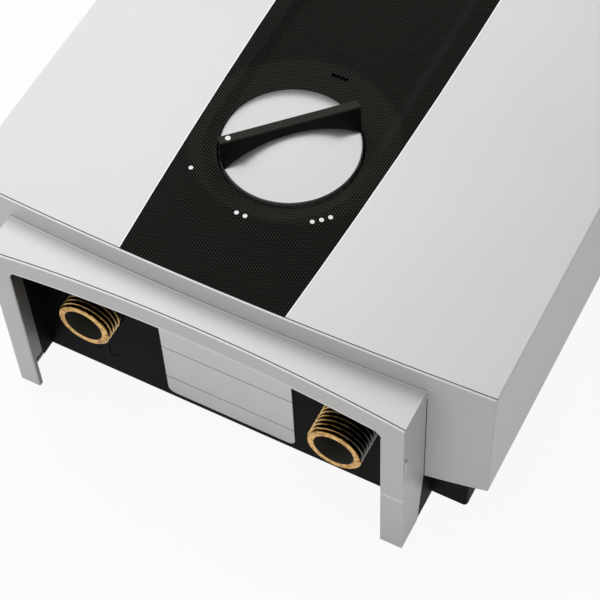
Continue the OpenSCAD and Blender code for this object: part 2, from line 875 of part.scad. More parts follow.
// The brass chamber that the cold water runs through
module flow_body() {
  color("#b58a45")
  translate([nip, y0, 0])
  difference() {
    union() {
      translate([0, flow_y, flow_z])
        cylinder(h = flow_h, r = flow_r);
      y_cylinder(0, nipple_z, flow_in, flow_out, spigot_r + 3);
    }
    translate([0, flow_y, flow_z + 4])
      cylinder(h = flow_h, r = flow_r - 5);
    y_cylinder(0, nipple_z, flow_in - 1, flow_in + 6 + fit, spigot_r + run);
    y_cylinder(0, nipple_z, flow_in + 2, flow_in + 4, spigot_r + 1.8);
    y_cylinder(0, nipple_z, flow_in, flow_out + 1, water_r);
    y_cylinder(0, nipple_z, flow_out - pipe_depth, flow_out + 1, pipe_r + run);
    translate([0, flow_y, flow_top])
      cylinder(h = 20, r = flow_r + 5);
  }
}

module flow_diaphragm() {
  color("#222222")
  translate([nip, y0 + flow_y, flow_top])
    cylinder(h = diaphragm_t, r = flow_r);
}

// The chamber's cap, with a boss for the plunger and two posts for the small switch
module flow_cap() {
  color("#d0d0c8")
  translate([nip, y0 + flow_y, cap_z])
  difference() {
    union() {
      cylinder(h = flow_cap_h, r = flow_r);
      cylinder(h = flow_cap_h + cap_boss_h, r = plunger_r + 2.5);
      for (s = [-1, 1])
        translate([s * micro_post_x, 0, 0])
          cylinder(h = flow_cap_h + micro_post_h, r = 2.5);
    }
    translate([0, 0, -1])
      cylinder(h = 1 + cap_room, r = flow_r - 6);
    translate([0, 0, -1])
      cylinder(h = flow_cap_h + cap_boss_h + 2, r = plunger_r + run);
  }
}

module flow_plunger() {
  color("#e8e4d8")
  translate([nip, y0 + flow_y, 0]) {
    translate([0, 0, cap_z + fit])
      cylinder(h = 2, r = flow_r - 8);
    translate([0, 0, cap_z + fit])
      cylinder(h = plunger_top - cap_z - fit, r = plunger_r);
  }
}

module micro_switch() {
  color("#3a3a3a")
  translate([nip, y0 + flow_y, micro_z])
  difference() {
    translate([-micro_w / 2, -micro_t / 2, 0])
      cube([micro_w, micro_t, micro_h]);
    translate([0, 0, -1])
      cylinder(h = 1 + button_in + plunger_travel + 0.8, r = button_r + run);
  }
}

module micro_button() {
  color("#b03020")
  translate([nip, y0 + flow_y, micro_z - button_low])
    cylinder(h = button_low + button_in, r = button_r);
}

// A copper pipe on the +X side: straight beside the vessel, then a bend into its side
module pipe(ya, yb) {
  difference() {
    union() {
      y_cylinder(nip, nipple_z, ya, yb, pipe_r);
      translate([vessel_r, yb, nipple_z])
        rotate_extrude(angle = 90)
          translate([bend_r, 0])
            circle(pipe_r);
      translate([0, yb + bend_r, nipple_z])
        rotate([0, 90, 0])
          cylinder(h = vessel_r, r = pipe_r);
    }
    y_cylinder(nip, nipple_z, ya - 1, yb, pipe_r - pipe_wall);
    translate([vessel_r, yb, nipple_z])
      rotate_extrude(angle = 90)
        translate([bend_r, 0])
          circle(pipe_r - pipe_wall);
    translate([0, yb + bend_r, nipple_z])
      rotate([0, 90, 0])
        cylinder(h = vessel_r, r = pipe_r - pipe_wall);
    y_cylinder(0, vessel_z, yb, yb + 2 * bend_r + pipe_r, vessel_r + run);
  }
}

module cold_pipe() {
  color("#c0774a")
  translate([0, y0, 0])
    pipe(flow_out - pipe_depth + fit, cold_bend_y);
}

module hot_pipe() {
  color("#c0774a")
  translate([0, y0, 0])
    mirror([1, 0, 0])
      pipe(spigot_end - pipe_depth + fit, hot_bend_y);
}

// The copper vessel, with a port in each side
module vessel() {
  color("#c0774a")
  translate([0, y0, 0])
  difference() {
    y_cylinder(0, vessel_z, vessel_y, vessel_end, vessel_r);
    y_cylinder(0, vessel_z, vessel_y + vessel_wall, vessel_end + 1, vessel_r - vessel_wall);
    translate([0, cold_bend_y + bend_r, nipple_z])
      rotate([0, 90, 0])
        cylinder(h = vessel_r + 1, r = pipe_r - pipe_wall);
    translate([0, hot_bend_y + bend_r, nipple_z])
      rotate([0, -90, 0])
        cylinder(h = vessel_r + 1, r = pipe_r - pipe_wall);
  }
}

// Bore centres of the three hairpin rods in the flange
function rod_at(k, s) = [rod_ring * cos(90 + 120 * k) - s * rod_bend * sin(90 + 120 * k),
  rod_ring * sin(90 + 120 * k) + s * rod_bend * cos(90 + 120 * k)];
bolt_ring = vessel_r - 5;

module vessel_flange() {
  color("#c9a45c")
  translate([0, y0, vessel_z])
  difference() {
    union() {
      y_cylinder(0, 0, vessel_end, vessel_end + flange_t, flange_r);
      y_cylinder(0, 0, vessel_end - 5, vessel_end + eps, vessel_r - vessel_wall - fit);
    }
    for (k = [0 : 2], s = [-1, 1])
      y_cylinder(rod_at(k, s)[0], rod_at(k, s)[1], vessel_end - 6, vessel_end + flange_t + 1, rod_r + run);
    for (k = [0 : 5])
      y_cylinder(bolt_ring * cos(60 * k), bolt_ring * sin(60 * k), vessel_end - 6, vessel_end + flange_t + 1, 2 + fit / 2);
  }
}

module flange_bolts() {
  color("silver")
  translate([0, y0, vessel_z])
  for (k = [0 : 5]) {
    y_cylinder(bolt_ring * cos(60 * k), bolt_ring * sin(60 * k), vessel_end - 4, vessel_end + flange_t + eps, 2);
    translate([bolt_ring * cos(60 * k), vessel_end + flange_t, bolt_ring * sin(60 * k)])
      rotate([-90, 0, 0])
        cylinder(h = 2.8, r = 4, $fn = 6);
  }
}

// Three hairpin heating rods, one more for each setting
module heating_rods() {
  color("#8a8a8a")
  translate([0, y0, vessel_z])
  for (k = [0 : 2])
    rotate([0, -120 * k, 0])
      union() {
        for (t = [-1, 1])
          y_cylinder(t * rod_bend, rod_ring, rod_low, vessel_end + flange_t + rod_out, rod_r);
        translate([0, rod_low, rod_ring])
          rotate([180, 0, 0])
            rotate_extrude(angle = 180)
              translate([rod_bend, 0])
                circle(rod_r);
      }
}

// Steel bands that hold the vessel down on its two saddles
module vessel_straps() {
  color("lightgray")
  translate([0, y0, 0])
  for (y = strap_y)
    difference() {
      union() {
        y_cylinder(0, vessel_z, y - strap_t / 2 + 1, y + strap_t / 2 - 1, vessel_r + 1);
        for (s = [-1, 1])
          translate([s > 0 ? vessel_r : -vessel_r - 1, y - strap_t / 2 + 1, floor_t])
            cube([1, strap_t - 2, vessel_z - floor_t]);
      }
      y_cylinder(0, vessel_z, y - strap_t, y + strap_t, vessel_r + run);
      translate([-vessel_r, y - strap_t, 0])
        cube([2 * vessel_r, 2 * strap_t, vessel_z]);
    }
}

// The thermal cut-out on top of the vessel
module thermal_cutout() {
  color("#3a3a3a")
  translate([0, y0, 0])
  difference() {
    translate([-cut_w / 2, cut_y - cut_l / 2, vessel_z + vessel_r - 5])
      cube([cut_w, cut_l, cut_top - vessel_z - vessel_r + 5]);
    y_cylinder(0, vessel_z, cut_y - cut_l, cut_y + cut_l, vessel_r + run);
    translate([0, cut_y, cut_top - reset_travel - 2.5])
      cylinder(h = 10, r = reset_r + run);
  }
}

module reset_button() {
  color("#b03020")
  translate([0, y0 + cut_y, cut_top - 2])
    cylinder(h = 2 + reset_up, r = reset_r);
}

module terminal_block() {
  color("#d8d4c4")
  translate([term_x, y0 + terminal_y, floor_t])
  difference() {
    cube([term_w, terminal_n * terminal_pitch, term_h]);
    for (k = [0 : terminal_n - 1], x = [term_w / 4, 3 * term_w / 4])
      translate([x, (k + 0.5) * terminal_pitch, term_h - 8])
        cylinder(h = 9, r = 3);
  }
}

module terminal_screws() {
  color("silver")
  translate([term_x, y0 + terminal_y, floor_t])
  for (k = [0 : terminal_n - 1], x = [term_w / 4, 3 * term_w / 4])
    translate([x, (k + 0.5) * terminal_pitch, term_h - 8])
      difference() {
        cylinder(h = 5, r = 3 - run);
        translate([-4, -0.4, 4])
          cube([8, 0.8, 2]);
      }
}

// The rubber grommet in the cable hole; the supply cable itself isn't part of the object
module cable_grommet() {
  color("#222222")
  translate([cable_x, y0 + cable_y, 0])
  difference() {
    union() {
      cylinder(h = floor_t + 2, r = cable_r + 2 - run);
      translate([0, 0, floor_t])
        cylinder(h = 2, r = cable_r + 3.5);
    }
    translate([0, 0, -1])
      cylinder(h = floor_t + 4, r = cable_r);
  }
}

// The live lead from the terminals to the cut-out
module supply_lead() {
  color("#5a3a22")
  translate([0, y0, 0])
    lead([[term_x + term_w, lead_y, lead_z], [term_x + term_w + 8, lead_y, lead_z], [term_x + term_w + 8, cut_y + 3, lead_z],
      [lead_up_x, cut_y + 3, lead_z], [lead_up_x, cut_y + 3, cut_top - 3.5], [-cut_w / 2, cut_y + 3, cut_top - 3.5]]);
}

// The lead from the cut-out to the selector switch
module switch_lead() {
  z = bracket_z + bracket_t + switch_h - 8;
  color("#222222")
  translate([0, y0, 0])
    lead([[0, cut_y - cut_l / 2, cut_top - 3], [0, vessel_y - 18, cut_top - 3], [0, vessel_y - 18, z],
      [0, knob_y + switch_w / 2, z]]);
}

// The leads from the selector switch to the three heating rods
module element_leads() {
  rod_end = vessel_end + flange_t + rod_out;
  color("#7a2020")
  translate([0, y0, 0])
  for (k = [0 : 2]) {
    z = bracket_z + bracket_t + 3 + 4.5 * k;
    x = 12 - 2 * k;
    side_x = vessel_r + 7;
    turn_y = vessel_y - 10 - 5 * k;
    back_y = rod_end + 4 + 4 * k;
    rod = rod_at(k, k == 0 ? -1 : 1);
    lead([[x, knob_y + switch_w / 2, z], [x, turn_y, z], [side_x, turn_y, z], [side_x, back_y, z], [rod[0], back_y, z],
      [rod[0], back_y, vessel_z + rod[1]], [rod[0], rod_end, vessel_z + rod[1]]]);
  }
}

module cover_screws() {
  color("silver")
  translate([0, y0, 0])
  for (s = [-1, 1], y = [screw_y, case_l - screw_y])
    translate([s * screw_x, y, 0]) {
      translate([0, 0, ledge_z - 2])
        cylinder(h = 2, r = 2.6);
      translate([0, 0, ledge_z - 1])
        cylinder(h = ledge_t + 9, r = screw_r - run);
    }
}

back_plate();
front_cover();
centre_strip();
setting_dots();
pipe_shroud();
knob_disc();
knob_bar();
knob_dot();
selector_spindle();
selector_switch();
switch_tabs();
switch_bracket();
bracket_screws();
label_plate();
cold_nipple();
hot_nipple();
nipple_screws();
inlet_filter();
inlet_ring();
flow_body();
flow_diaphragm();
flow_cap();
flow_plunger();
micro_switch();
micro_button();
cold_pipe();
hot_pipe();
vessel();
vessel_flange();
flange_bolts();
heating_rods();
vessel_straps();
thermal_cutout();
reset_button();
terminal_block();
terminal_screws();
cable_grommet();
supply_lead();
switch_lead();
element_leads();
cover_screws();
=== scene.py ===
import math

import bmesh
import bpy
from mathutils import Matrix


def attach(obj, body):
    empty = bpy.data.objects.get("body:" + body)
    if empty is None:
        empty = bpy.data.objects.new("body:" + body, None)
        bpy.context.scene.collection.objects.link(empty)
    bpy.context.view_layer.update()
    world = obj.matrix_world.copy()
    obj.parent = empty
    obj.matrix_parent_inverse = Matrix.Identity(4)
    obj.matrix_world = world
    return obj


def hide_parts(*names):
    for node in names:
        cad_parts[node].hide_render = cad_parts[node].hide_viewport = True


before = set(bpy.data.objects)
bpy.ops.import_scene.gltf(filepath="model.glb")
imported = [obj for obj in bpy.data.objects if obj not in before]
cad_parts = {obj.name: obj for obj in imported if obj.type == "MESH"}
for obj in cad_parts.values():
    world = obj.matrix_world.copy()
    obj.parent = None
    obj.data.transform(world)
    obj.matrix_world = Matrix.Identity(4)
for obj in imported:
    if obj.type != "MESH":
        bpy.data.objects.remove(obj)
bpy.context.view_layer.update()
bpy.ops.object.select_all(action="DESELECT")


# Back plate: the tray that is screwed to the wall, moulded in one piece from black ABS.
# It carries the connection panel, the posts and the saddles. The mould is spark-eroded,
# which gives a fine matt grain.
def linear(code):
    """sRGB hex to the linear colour that the sockets take."""
    parts = [int(code[k:k + 2], 16) / 255 for k in (1, 3, 5)]
    return tuple(c / 12.92 if c <= 0.04045 else ((c + 0.055) / 1.055) ** 2.4
                 for c in parts) + (1.0,)


def feed(node, inputs):
    """Fills inputs, each from a value, a socket, or the first output in use of a node."""
    for socket, value in inputs.items():
        if isinstance(value, bpy.types.Node):
            value = next(output for output in value.outputs if output.enabled)
        if isinstance(value, bpy.types.NodeSocket):
            node.id_data.links.new(value, node.inputs[socket])
        else:
            node.inputs[socket].default_value = value


def add_node(tree, kind, inputs=None, stops=(), **settings):
    """One shader node with its settings and links; stops are a ramp's places and colours."""
    made = tree.nodes.new("ShaderNode" + kind)
    for name, value in settings.items():
        setattr(made, name, value)
    feed(made, inputs or {})
    if stops:
        ramp = made.color_ramp.elements
        for end in (0, -1):
            ramp[end].position, ramp[end].color = stops[end][0], linear(stops[end][1])
        for spot, code in stops[1:-1]:
            ramp.new(spot).color = linear(code)
    return made


def new_finish(name):
    """An empty finish: the material, its tree, its shader and the coordinates of the frame."""
    made = bpy.data.materials.new(name)
    made.use_nodes = True
    tree = made.node_tree
    place = add_node(tree, "TexCoord").outputs["Object"]
    return made, tree, tree.nodes["Principled BSDF"], place


def dress(finish, *names):
    """Puts a finish on CAD nodes."""
    for name in names:
        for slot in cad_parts[name].material_slots:
            slot.material = finish


# Black ABS off a spark-eroded mould: dark warm grey, slightly clouded, with a broad soft shine.
# The real grain is finer; it is drawn at half a millimetre, so that it shows. A pattern's Scale
# is one over its size in metres.
moulded_abs, tree, shader, place = new_finish("black_moulded_abs")
grain = add_node(tree, "TexNoise", {"Vector": place, "Scale": 1 / 0.0005, "Detail": 3.0})
cloud = add_node(tree, "TexNoise", {"Vector": place, "Scale": 1 / 0.025, "Detail": 4.0})
tone = add_node(tree, "ValToRGB", {"Fac": cloud}, stops=((0.3, "#0f0e0e"), (0.7, "#161514")))
shine = add_node(tree, "MapRange", {"Value": grain, "To Min": 0.42, "To Max": 0.62})
edge = add_node(tree, "Bevel", {"Radius": 0.0006}, samples=6)
relief = add_node(tree, "Bump", {"Height": grain, "Strength": 0.3, "Distance": 0.0001,
                                 "Normal": edge})
feed(shader, {"Base Color": tone, "Roughness": shine, "Specular IOR Level": 0.02,
              "Normal": relief})
dress(moulded_abs, "back_plate")


# Heating vessel and pipes: drawn copper, brazed at the ports. The vessel lies on two saddles of
# the back plate under steel straps, and the pipes run from it to the nipples.
# The copper is dulled and tinted by heat, with fine streaks along the way it was drawn.
copper, tree, shader, place = new_finish("drawn_copper")
drawn = add_node(tree, "Mapping", {"Vector": place, "Scale": (1.0, 0.12, 1.0)})
streak = add_node(tree, "TexNoise", {"Vector": drawn, "Scale": 1 / 0.002, "Detail": 4.0})
tarnish = add_node(tree, "TexNoise", {"Vector": place, "Scale": 1 / 0.03, "Detail": 5.0})
tone = add_node(tree, "ValToRGB", {"Fac": tarnish}, stops=((0.35, "#8f5236"), (0.62, "#cc8660")))
shine = add_node(tree, "MapRange", {"Value": tarnish, "To Min": 0.48, "To Max": 0.26})
relief = add_node(tree, "Bump", {"Height": streak, "Strength": 0.2, "Distance": 0.0001})
feed(shader, {"Metallic": 1.0, "Base Color": tone, "Roughness": shine, "Normal": relief})
dress(copper, "vessel", "cold_pipe", "hot_pipe")


# Vessel flange, flow chamber and switch tabs: brass, cast or stamped, and machined where it
# seals. The flange is bolted to the vessel, the chamber sits in the cold line, and the tabs are
# the selector's contacts. The brass has a dull skin and brighter rubbed places.
cast_brass, tree, shader, place = new_finish("cast_brass")
skin = add_node(tree, "TexNoise", {"Vector": place, "Scale": 1 / 0.0012, "Detail": 5.0})
rubbed_wear_and_lit_top = add_node(tree, "TexNoise", {"Vector": place, "Scale": 1 / 0.012, "Detail": 4.0})
tone = add_node(tree, "ValToRGB", {"Fac": rubbed_wear_and_lit_top}, stops=((0.35, "#a17b3c"), (0.65, "#cfa964")))
shine = add_node(tree, "MapRange", {"Value": skin, "To Min": 0.3, "To Max": 0.52})
relief = add_node(tree, "Bump", {"Height": skin, "Strength": 0.25, "Distance": 0.00015})
feed(shader, {"Metallic": 1.0, "Base Color": tone, "Roughness": shine, "Normal": relief})
dress(cast_brass, "vessel_flange", "flow_body", "switch_tabs")


# Screws, straps, bracket, spindle and sieve: steel with a bright zinc plating. The screws hold
# the pieces on the posts of the back plate, and the straps hold the vessel on its saddles.
# The plating is slightly clouded, in spangles of about 2 mm.
zinc, tree, shader, place = new_finish("zinc_plated_steel")
spangle = add_node(tree, "TexVoronoi", {"Vector": place, "Scale": 1 / 0.0022})
brushed = add_node(tree, "TexNoise", {"Vector": place, "Scale": 1 / 0.0004, "Detail": 2.0})
tone = add_node(tree, "ValToRGB", {"Fac": spangle}, stops=((0.0, "#c3c5c6"), (0.8, "#a9aaa6")))
shine = add_node(tree, "MapRange", {"Value": spangle, "To Min": 0.24, "To Max": 0.42})
relief = add_node(tree, "Bump", {"Height": brushed, "Strength": 0.12, "Distance": 0.00005})
feed(shader, {"Metallic": 1.0, "Base Color": tone, "Roughness": shine, "Normal": relief})
dress(zinc, "selector_spindle", "switch_bracket", "bracket_screws", "nipple_screws",
      "inlet_filter", "flange_bolts", "vessel_straps", "terminal_screws", "cover_screws")


# Heating rods: three hairpins, each a stainless sheath round a mineral core, swaged and fixed in
# the flange. They are blued by their own heat, in clouds of about 6 mm.
rod_steel, tree, shader, place = new_finish("heat_blued_stainless")
scale = add_node(tree, "TexNoise", {"Vector": place, "Scale": 1 / 0.006, "Detail": 6.0})
tone = add_node(tree, "ValToRGB", {"Fac": scale}, stops=((0.35, "#5d5c60"), (0.65, "#8f8a82")))
shine = add_node(tree, "MapRange", {"Value": scale, "To Min": 0.32, "To Max": 0.55})
feed(shader, {"Metallic": 1.0, "Base Color": tone, "Roughness": shine})
dress(rod_steel, "heating_rods")


# Flow switch seals and cable grommet: nitrile rubber, moulded and pressed into their seats.
# The rubber is matt black with a dusty bloom.
rubber, tree, shader, place = new_finish("nitrile_rubber")
bloom = add_node(tree, "TexNoise", {"Vector": place, "Scale": 1 / 0.004, "Detail": 5.0})
tone = add_node(tree, "ValToRGB", {"Fac": bloom}, stops=((0.3, "#161616"), (0.75, "#242322")))
relief = add_node(tree, "Bump", {"Height": bloom, "Strength": 0.2, "Distance": 0.0001})
feed(shader, {"Roughness": 0.78, "Base Color": tone, "Normal": relief})
dress(rubber, "inlet_ring", "flow_diaphragm", "cable_grommet")


# Switches, terminal block and leads: the block and the flow switch's cap are cream polyamide,
# the switch bodies black phenolic, the buttons red acetal, and the leads have silicone sheaths.
# All are moulded or extruded, with faint flow clouds and an even satin shine.
for name, low, high, rough, nodes in (
        ("cream_polyamide", "#cdc6b2", "#dcd6c6", 0.46,
         ("terminal_block", "flow_cap", "flow_plunger")),
        ("black_phenolic", "#1b1a19", "#2b2927", 0.4,
         ("selector_switch", "micro_switch", "thermal_cutout")),
        ("red_acetal", "#9c2a1c", "#b5392a", 0.36, ("micro_button", "reset_button")),
        ("brown_silicone_sheath", "#4f321f", "#64422b", 0.5, ("supply_lead",)),
        ("black_silicone_sheath", "#1d1c1c", "#2a2929", 0.5, ("switch_lead",)),
        ("oxide_red_silicone_sheath", "#6d231c", "#842f26", 0.5, ("element_leads",))):
    polymer, tree, shader, place = new_finish(name)
    swirl = add_node(tree, "TexNoise", {"Vector": place, "Scale": 1 / 0.008, "Detail": 4.0,
                                        "Distortion": 0.6})
    fine = add_node(tree, "TexNoise", {"Vector": place, "Scale": 1 / 0.0005, "Detail": 2.0})
    tone = add_node(tree, "ValToRGB", {"Fac": swirl}, stops=((0.3, low), (0.7, high)))
    shine = add_node(tree, "MapRange", {"Value": fine, "To Min": rough - 0.07,
                                        "To Max": rough + 0.09})
    relief = add_node(tree, "Bump", {"Height": fine, "Strength": 0.15, "Distance": 0.00006})
    feed(shader, {"Base Color": tone, "Roughness": shine, "Normal": relief})
    dress(polymer, *nodes)


# Pipe nipples: turned brass with a G 1/2 thread, screwed to the inside of the panel by a flange.
# The crests and the end ring are bright, and the thread's grooves and the bore are dark with oil
# and scale. Both nipples share these sizes, which are the CAD model's.
nipple_x, nipple_z, panel_face = 0.0515, 0.0425, -0.16185
pitch, crest, root, bore_wall = 0.001814, 0.0104775, 0.00932, 0.00772
hot_ring, cold_ring = -0.17082, -0.17626
mix_share, mix_under, mix_over = 0, 6, 7  # the sockets of a Mix node that mixes colours

turned_brass, tree, shader, place = new_finish("turned_brass")
apart = add_node(tree, "SeparateXYZ", {"Vector": place})
side = add_node(tree, "Math", {0: apart.outputs["X"]}, operation="ABSOLUTE")
across = add_node(tree, "Math", {0: side, 1: nipple_x}, operation="SUBTRACT")
up = add_node(tree, "Math", {0: apart.outputs["Z"], 1: nipple_z}, operation="SUBTRACT")
spoke = add_node(tree, "CombineXYZ", {"X": across, "Y": up})
radius = add_node(tree, "VectorMath", {0: spoke}, operation="LENGTH")
# The oil lies in the grooves up to a level that wanders by 0.2 mm.
smear = add_node(tree, "TexNoise", {"Vector": place, "Scale": 1 / 0.0018, "Detail": 4.0})
wander = add_node(tree, "MapRange", {"Value": smear, "From Min": 0.25, "From Max": 0.75,
                                     "To Min": -0.0002, "To Max": 0.0002})
level = add_node(tree, "Math", {0: radius, 1: wander}, operation="ADD")
groove = add_node(tree, "MapRange", {"Value": level, "From Min": 0.0093, "From Max": 0.0104})
oiled = add_node(tree, "ValToRGB", {"Fac": groove}, stops=(
    (0.1, "#0e0a06"), (0.62, "#3a2a13"), (0.84, "#b38a45"), (0.95, "#e6c283")))
# The outer half of the cold thread is darkened and greyed: painted shade on the side away from
# the light.
cold_side = add_node(tree, "Math", {0: apart.outputs["X"], 1: 0.0}, operation="GREATER_THAN")
outer_half = add_node(tree, "MapRange", {"Value": across, "From Min": 0.001, "From Max": 0.006})
shade_side_mask = add_node(tree, "Math", {0: outer_half, 1: cold_side}, operation="MULTIPLY")
thread_with_painted_shade = add_node(tree, "HueSaturation", {"Color": oiled, "Fac": shade_side_mask, "Saturation": 0.25,
                                          "Value": 0.24})
# The end ring is bare brass with brown smears, and the bore has a grey scale that isn't metal.
bright = add_node(tree, "ValToRGB", {"Fac": smear}, stops=((0.36, "#a3773a"), (0.58, "#dcb36c")))
ring_from = add_node(tree, "MapRange", {"Value": cold_side, "To Min": hot_ring,
                                        "To Max": cold_ring})
end_ring = add_node(tree, "Math", {0: apart.outputs["Y"], 1: ring_from}, operation="LESS_THAN")
turned = add_node(tree, "Mix", {mix_share: end_ring, mix_under: thread_with_painted_shade, mix_over: bright},
                  data_type="RGBA")
bore = add_node(tree, "Math", {0: radius, 1: bore_wall}, operation="LESS_THAN")
scaled = add_node(tree, "Mix", {mix_share: bore, mix_under: turned, mix_over: linear("#55544c")},
                  data_type="RGBA")
bare = add_node(tree, "Math", {0: 1.0, 1: bore}, operation="SUBTRACT")
shine = add_node(tree, "MapRange", {"Value": smear, "To Min": 0.22, "To Max": 0.42})
relief = add_node(tree, "Bump", {"Height": smear, "Strength": 0.2, "Distance": 0.00015})
feed(shader, {"Metallic": bare, "Base Color": scaled, "Roughness": shine, "Normal": relief})


def merged_copy(node, piece):
    """A copy of a CAD node, open in edit mode, its loose triangles merged to whole faces."""
    made = bpy.data.objects.new(piece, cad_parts[node].data.copy())
    bpy.context.collection.objects.link(made)
    bpy.ops.object.select_all(action="DESELECT")
    bpy.context.view_layer.objects.active = made
    made.select_set(True)
    bpy.ops.mesh.customdata_custom_splitnormals_clear()
    bpy.ops.object.mode_set(mode="EDIT")
    bpy.ops.mesh.select_mode(type="VERT")
    bpy.ops.mesh.select_all(action="SELECT")
    bpy.ops.mesh.remove_doubles(threshold=1e-6)
    bpy.ops.mesh.dissolve_limited(angle_limit=math.radians(0.2))
    return made


def put_on(made, finish, node, body):
    """Closes edit mode, smooths the curved faces and puts the piece in place of the node."""
    bpy.ops.object.mode_set(mode="OBJECT")
    bpy.ops.object.shade_smooth_by_angle(angle=math.radians(32.0))
    bpy.ops.object.modifier_add(type="WEIGHTED_NORMAL")
    made.modifiers[-1].keep_sharp = True
    bpy.ops.object.modifier_apply(modifier=made.modifiers[-1].name)
    made.data.materials.clear()
    made.data.materials.append(finish)
    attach(made, body)
    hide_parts(node)


def select_in(made, kind, chosen):
    """Selects those edges or faces of the open piece that `chosen` picks."""
    bpy.ops.mesh.select_all(action="DESELECT")
    bpy.ops.mesh.select_mode(type=kind)
    work = bmesh.from_edit_mesh(made.data)
    for part in work.edges if kind == "EDGE" else work.faces:
        part.select_set(chosen(part))
    bmesh.update_edit_mesh(made.data)


# The end ring, past the last turn, has a chamfer and a collar. The ridge of the thread starts
# behind it and is sunk 0.2 mm into the root, so that it joins the body.
past_thread, ring_chamfer, ring_depth = 0.0006, 0.0005, 0.0003
collar, collar_from, collar_to, root_from = 0.0101, 0.00025, 0.00055, 0.00085
thread_from, flush, lead_in = 0.0091, 0.00005, 0.0004
ridge_foot, foot_half, crest_half, steps_per_turn = root - 0.0002, 0.00078, 0.00015, 72
for node, piece, axis_x, turns in (("cold_nipple", "cold_nipple_threaded", nipple_x, 8),
                                   ("hot_nipple", "hot_nipple_threaded", -nipple_x, 5)):
    tip = panel_face - turns * pitch - past_thread
    # The turned body: the rings that stand for the thread are taken off in front of the panel,
    # and the end ring's open edge is drawn out to the collar, then back along the thread's root.
    nipple = merged_copy(node, piece)
    select_in(nipple, "FACE", lambda face: all(
        v.co.y < panel_face + flush
        and math.hypot(v.co.x - axis_x, v.co.z - nipple_z) > thread_from for v in face.verts))
    bpy.ops.mesh.delete(type="FACE")
    select_in(nipple, "EDGE", lambda edge: edge.is_boundary and all(
        v.co.y < tip + ring_depth for v in edge.verts))
    here, wide = tip, crest - ring_chamfer
    for there, reach in ((tip + collar_from, collar), (tip + collar_to, collar),
                         (tip + root_from, root), (panel_face, root)):
        bpy.ops.mesh.extrude_edges_move(
            TRANSFORM_OT_translate={"value": (0.0, there - here, 0.0)})
        bpy.ops.transform.resize(value=(reach / wide, 1.0, reach / wide),
                                 center_override=(axis_x, there, nipple_z))
        here, wide = there, reach
    select_in(nipple, "EDGE", lambda edge: edge.is_boundary)
    bpy.ops.mesh.bridge_edge_loops()
    bpy.ops.mesh.select_all(action="SELECT")
    bpy.ops.mesh.normals_make_consistent(inside=False)
    bpy.ops.object.mode_set(mode="OBJECT")
    # The thread: one 55 degree ridge, wound at the thread's pitch.
    bpy.ops.object.select_all(action="DESELECT")
    bpy.ops.mesh.primitive_plane_add(size=0.001, location=(axis_x, tip + lead_in, nipple_z))
    ridge = bpy.context.object
    outline = ((ridge_foot, -foot_half), (ridge_foot, foot_half),
               (crest, -crest_half), (crest, crest_half))
    for point, (reach, along) in zip(ridge.data.vertices, outline):
        point.co = (reach, along, 0.0)
    bpy.ops.object.mode_set(mode="EDIT")
    bpy.ops.mesh.select_all(action="SELECT")
    bpy.ops.mesh.delete(type="ONLY_FACE")
    bpy.ops.object.mode_set(mode="OBJECT")
    bpy.ops.object.modifier_add(type="SCREW")
    wind = ridge.modifiers[-1]
    wound = turns - 0.5
    wind.axis, wind.angle, wind.screw_offset = "Y", 2 * math.pi * wound, pitch * wound
    wind.iterations, wind.steps = 1, int(steps_per_turn * wound)
    wind.render_steps = wind.steps
    bpy.ops.object.modifier_apply(modifier=wind.name)
    bpy.ops.object.transform_apply(location=True, rotation=True, scale=True)
    bpy.ops.object.mode_set(mode="EDIT")
    bpy.ops.mesh.select_all(action="SELECT")
    bpy.ops.mesh.remove_doubles(threshold=1e-6)
    bpy.ops.mesh.fill_holes(sides=4)
    bpy.ops.mesh.select_all(action="SELECT")
    bpy.ops.mesh.normals_make_consistent(inside=False)
    bpy.ops.object.mode_set(mode="OBJECT")
    nipple.select_set(True)
    bpy.context.view_layer.objects.active = nipple
    bpy.ops.object.join()
    put_on(nipple, turned_brass, node, "case")


# Label plate: a bare plate of light grey polyester film, die-cut and stuck to the panel.
# Two thin grey rules are screened across it. The film is satin, with a fine tooth that is drawn
# coarse enough to show.
upper_rule, lower_rule, rule_half = 0.034, 0.014, 0.00025
film, tree, shader, place = new_finish("grey_polyester_film")
tooth = add_node(tree, "TexNoise", {"Vector": place, "Scale": 1 / 0.0006, "Detail": 2.0})
wash = add_node(tree, "TexNoise", {"Vector": place, "Scale": 1 / 0.03, "Detail": 3.0})
tone = add_node(tree, "ValToRGB", {"Fac": wash}, stops=((0.3, "#f4f4f3"), (0.7, "#f9f9f8")))
height = add_node(tree, "SeparateXYZ", {"Vector": place}).outputs["Z"]
upper = add_node(tree, "Math", {0: height, 1: upper_rule, 2: rule_half}, operation="COMPARE")
lower = add_node(tree, "Math", {0: height, 1: lower_rule, 2: rule_half}, operation="COMPARE")
rules = add_node(tree, "Math", {0: upper, 1: lower}, operation="MAXIMUM")
printed = add_node(tree, "Mix", {mix_share: rules, mix_under: tone, mix_over: linear("#6f6f6e")},
                   data_type="RGBA")
relief = add_node(tree, "Bump", {"Height": tooth, "Strength": 0.1, "Distance": 0.00004})
feed(shader, {"Roughness": 0.42, "Base Color": printed, "Normal": relief})
dress(film, "label_plate")


# Front cover and pipe shroud: shells moulded from ABS and sprayed with silver lacquer. The
# cover's front is a panel set into its ends, with a fine gap and a painted highlight along the
# bowed edge, and the shroud has the same. The lacquer is satin, with a very fine metal flake.
crown_r, crown_sunk = 0.378571, 0.277571  # each arc's radius, and how far off its centre lies
bow_r, bow_off = 0.500679, 0.325179
lip_r, lip_off = 2.61314, 2.57664
arch_r, arch_sunk = 0.40001, 0.30901
cover_middle, shroud_front, face_depth = 0.00535, -0.18085, 0.00065
gap_in, gap_half, highlight_wide = 0.00066, 0.00024, 0.00042

silver, tree, shader, place = new_finish("silver_lacquer")
